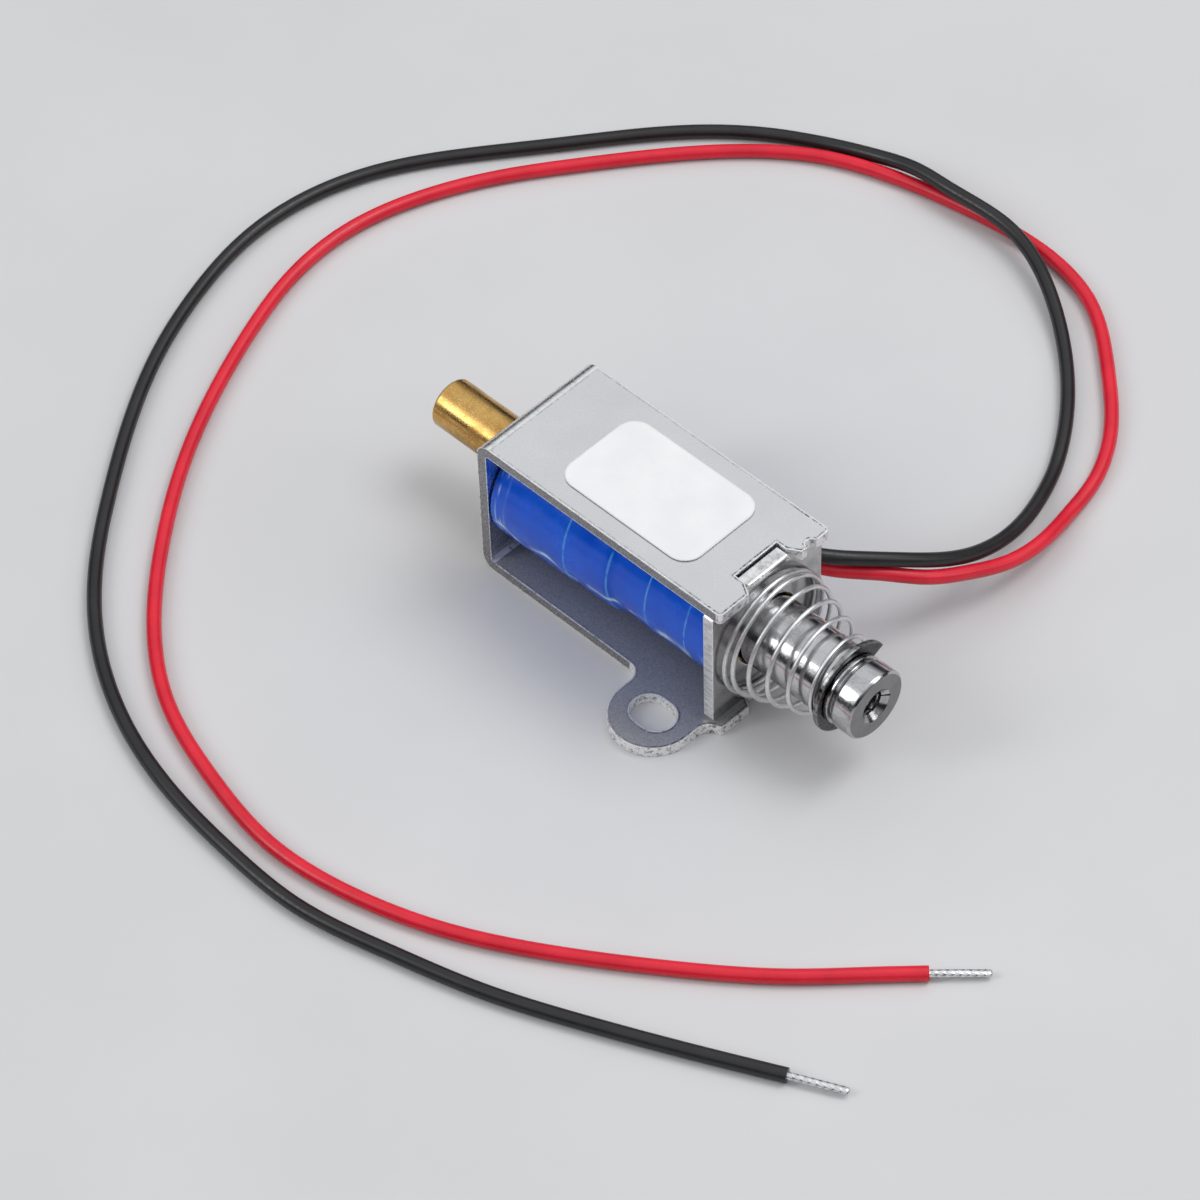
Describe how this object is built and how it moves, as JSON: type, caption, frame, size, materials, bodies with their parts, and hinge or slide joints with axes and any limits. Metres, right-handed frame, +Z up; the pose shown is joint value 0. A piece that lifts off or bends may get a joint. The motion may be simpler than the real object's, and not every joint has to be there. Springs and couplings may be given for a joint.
{
  "type": "push pull solenoid",
  "caption": "Open-frame push pull solenoid: taped coil in a U-shaped frame with two slotted ears, plunger with return spring, brass push rod and two free leads.",
  "frame": {"origin": "middle of the frame's base, on its underside", "axes": "+X along the plunger, out of the spring end; +Z up from the base; +Y completes the right hand"},
  "size_m": [0.1118, 0.1049, 0.0165],
  "materials": {
    "zinc": "zinc plated, satin",
    "steel": "nickel plated, bright",
    "spring_steel": "drawn wire",
    "clip_steel": "blackened",
    "brass": "turned",
    "copper": "enamelled wire",
    "tape": "glossy film",
    "clear_tape": "film",
    "nylon": "moulded",
    "rubber": "matte",
    "label": "coated paper",
    "tin": "tinned strands",
    "sleeving": "sleeving",
    "red_pvc": "PVC insulation",
    "black_pvc": "PVC insulation"
  },
  "bodies": {
    "stator": {"frame_strap": "zinc", "front_plate": "zinc", "fixed_core": "steel", "damping_washer": "rubber", "guide_sleeve": "brass", "bobbin": "nylon", "coil_winding": "copper", "inner_tape": "clear_tape", "outer_tape": "tape", "label": "label", "red_joint": "tin", "black_joint": "tin", "red_sleeve": "sleeving", "black_sleeve": "sleeving", "red_lead": "red_pvc", "black_lead": "black_pvc", "red_lead_tip": "tin", "black_lead_tip": "tin", "return_spring": "spring_steel"},
    "armature": {"plunger": "steel", "push_rod": "brass", "retaining_clip": "clip_steel"}
  },
  "joints": [
    {"name": "plunger_slide", "type": "slide", "parent": "stator", "child": "armature", "axis": [-1, 0, 0], "range_m": [0, 0.006], "stiffness_N_per_m": 73, "deforming": ["return_spring"]}
  ]
}
